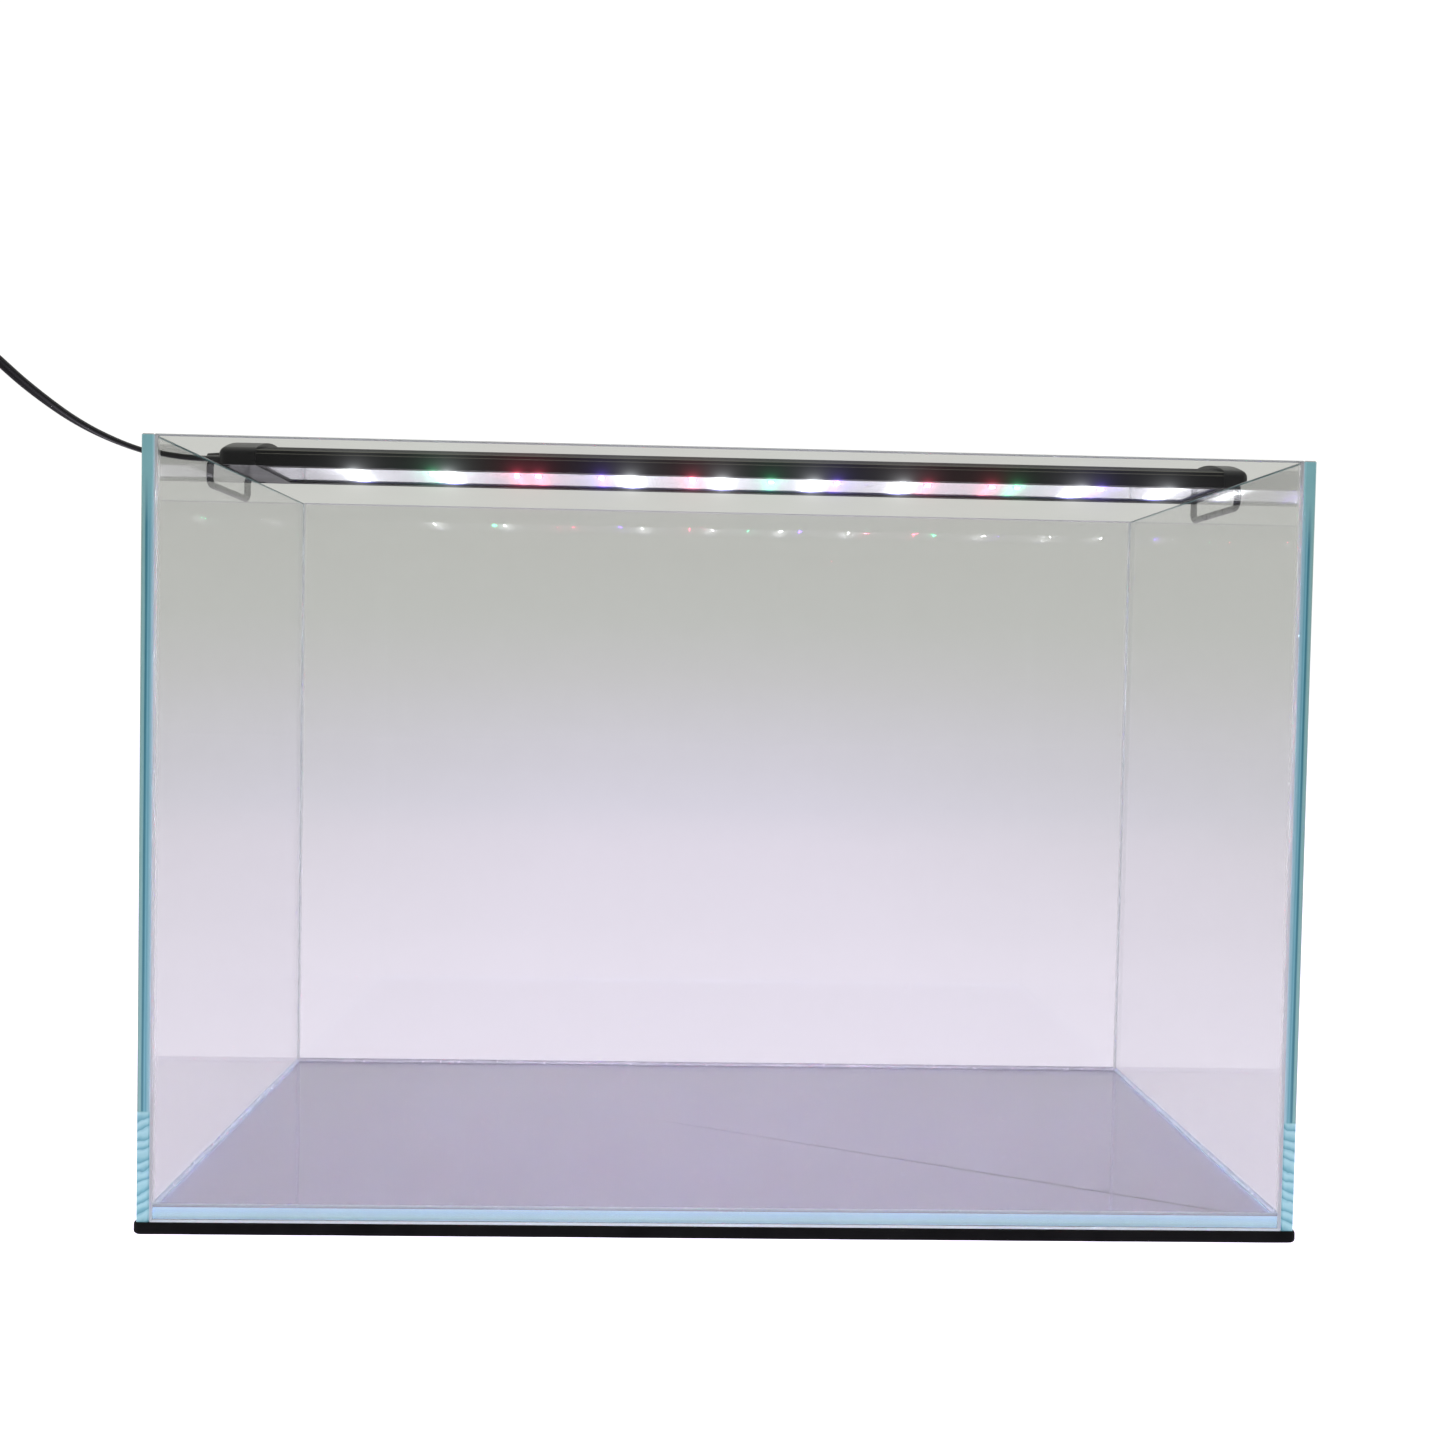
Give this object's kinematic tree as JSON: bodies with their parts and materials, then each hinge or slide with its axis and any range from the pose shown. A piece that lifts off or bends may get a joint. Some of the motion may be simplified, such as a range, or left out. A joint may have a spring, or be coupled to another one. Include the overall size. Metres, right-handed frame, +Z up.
{
  "type": "aquarium",
  "caption": "Rimless glass tank on a black foam mat, with an LED light bar that rests across the rim on extending wire brackets, and its cord and plug-in adapter.",
  "frame": {"origin": "centre of the foam mat's underside, without the cord", "axes": "+X along the tank's length to the right, +Y from the front pane to the back, +Z up"},
  "size_m": [0.807, 0.304, 0.4841],
  "materials": {
    "foam": "closed-cell foam, matt",
    "glass": "clear float glass, ground edges",
    "silicone": "clear silicone",
    "anodised": "black anodised, satin",
    "cap_plastic": "moulded, satin",
    "screw_steel": "plated",
    "white_plastic": "white reflector",
    "board_white": "solder mask",
    "led_white": "lit, cool white",
    "led_red": "lit, red",
    "led_green": "lit, green",
    "led_blue": "lit, blue",
    "clear_acrylic": "clear acrylic",
    "black_rubber": "matt",
    "wire_sleeve": "insulation",
    "cord_pvc": "flat twin cord",
    "black_wire": "black coated wire",
    "black_nylon": "moulded",
    "tie_plastic": "coated twist tie",
    "adapter_plastic": "fine texture",
    "plated_brass": "nickel plated",
    "board_green": "circuit board"
  },
  "bodies": {
    "tank": {"base_mat": "foam", "bottom_pane": "glass", "front_pane": "glass", "back_pane": "glass", "left_pane": "glass", "right_pane": "glass", "corner_seams": "silicone", "floor_seam": "silicone", "cord_floor_stretch": "cord_pvc", "cord_coil": "cord_pvc", "coil_tie": "tie_plastic", "adapter_boot": "black_rubber", "adapter_rear_shell": "adapter_plastic", "adapter_front_shell": "adapter_plastic", "adapter_blades": "plated_brass", "adapter_board": "board_green"},
    "lamp": {"light_housing": "anodised", "left_end_cap": "cap_plastic", "right_end_cap": "cap_plastic", "end_cap_screws": "screw_steel", "reflector_tray": "white_plastic", "led_board": "board_white", "white_leds": "led_white", "red_leds": "led_red", "green_leds": "led_green", "blue_leds": "led_blue", "board_screws": "screw_steel", "lens_cover": "clear_acrylic", "lens_gasket": "black_rubber", "lead_wires": "wire_sleeve", "cord_gland": "black_rubber", "cord_lamp_stretch": "cord_pvc"},
    "left_bracket": {"left_wire_bracket": "black_wire", "left_rod_collars": "black_nylon"},
    "right_bracket": {"right_wire_bracket": "black_wire", "right_rod_collars": "black_nylon"}
  },
  "joints": [
    {"name": "lamp_lift", "type": "slide", "parent": "tank", "child": "lamp", "axis": [0, 0, 1], "range_m": [0, 0.08]},
    {"name": "left_bracket_slide", "type": "slide", "parent": "lamp", "child": "left_bracket", "axis": [-1, 0, 0], "range_m": [-0.003, 0.065]},
    {"name": "right_bracket_slide", "type": "slide", "parent": "lamp", "child": "right_bracket", "axis": [1, 0, 0], "range_m": [-0.003, 0.065]}
  ]
}
